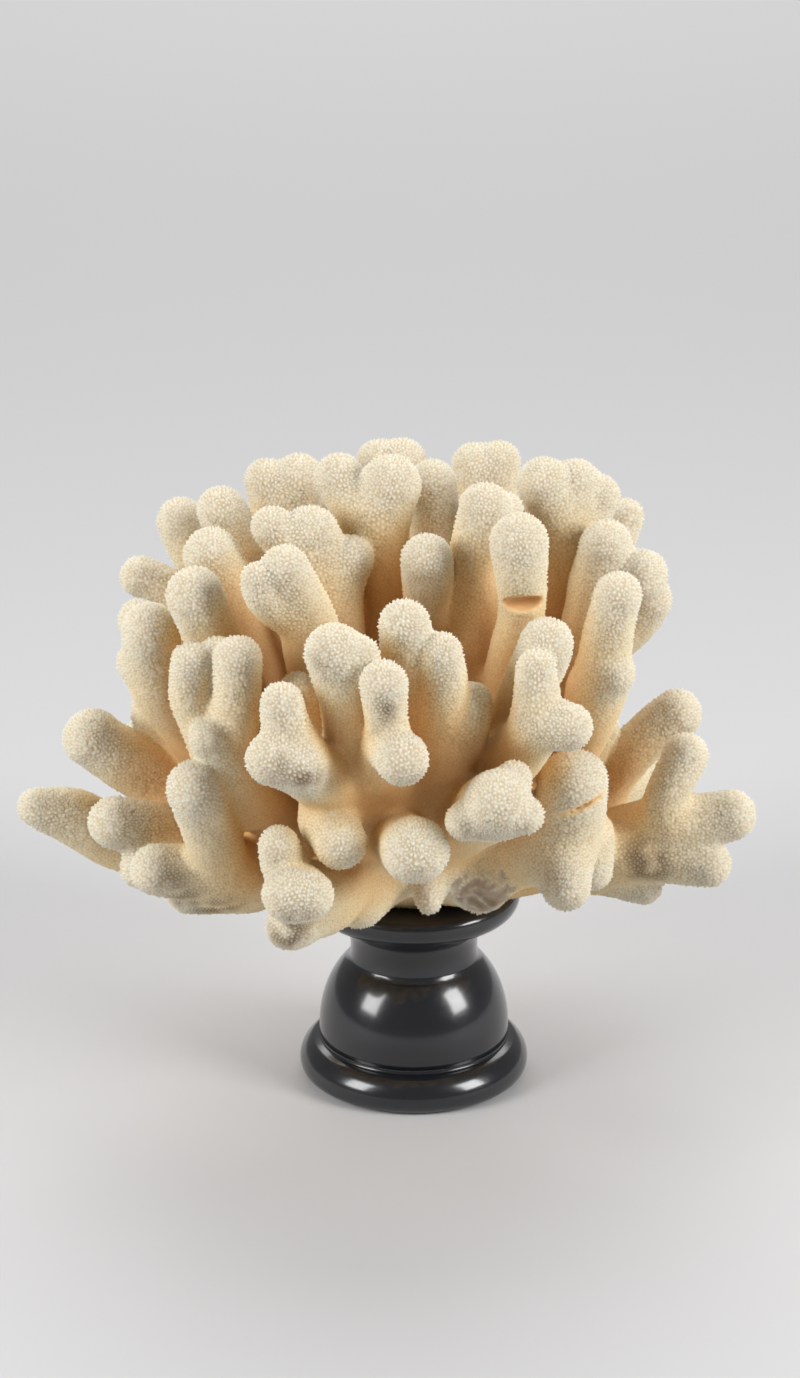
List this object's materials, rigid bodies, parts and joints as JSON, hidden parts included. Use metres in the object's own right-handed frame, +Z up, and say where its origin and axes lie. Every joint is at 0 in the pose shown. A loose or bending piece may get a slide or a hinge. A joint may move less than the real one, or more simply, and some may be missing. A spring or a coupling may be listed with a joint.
{
  "type": "mounted branching coral",
  "caption": "Stony branching coral with blunt, pored fingers spreading from one base, glued on a turned black stand.",
  "frame": {"origin": "centre of the stand's flat foot, on the surface it stands on", "axes": "+Z up along the stand's turning axis, +X to the right along the coral's longest spread, -Y towards the viewer who sees its fullest side"},
  "size_m": [0.2055, 0.1891, 0.1869],
  "materials": {
    "coral": "matt ivory coral skeleton, finely pored and prickly, warm tan deep between the fingers",
    "coral_fracture": "rough broken coral, grey-brown crystalline patches",
    "ebonised_wood": "black lacquered wood, glossy, faint turning rings"
  },
  "bodies": {
    "root": {"back_centre": "coral", "back_left_high": "coral", "back_left_low": "coral", "back_left_mid": "coral", "back_low_knob": "coral", "back_right_high": "coral", "back_right_low": "coral", "back_right_mid": "coral", "broken_finger": "coral", "broken_stub": "coral_fracture", "crown_back": "coral", "crown_club": "coral", "crown_fan": "coral", "crown_left": "coral", "crown_left_back": "coral", "crown_left_front": "coral", "crown_middle": "coral", "crown_right": "coral", "crown_right_back": "coral", "downward_nub": "coral", "front_centre": "coral", "front_left_low": "coral", "front_middle": "coral", "front_right_knob": "coral", "holdfast": "coral", "left_back_low": "coral", "left_crown": "coral", "left_front_low": "coral", "left_inner": "coral", "left_low": "coral", "left_mid": "coral", "left_shoulder": "coral", "left_upper": "coral", "pedestal": "ebonised_wood", "right_back_low": "coral", "right_front_low": "coral", "right_inner": "coral", "right_low": "coral", "right_mid": "coral", "right_shoulder": "coral", "right_upper": "coral"}
  },
  "joints": []
}
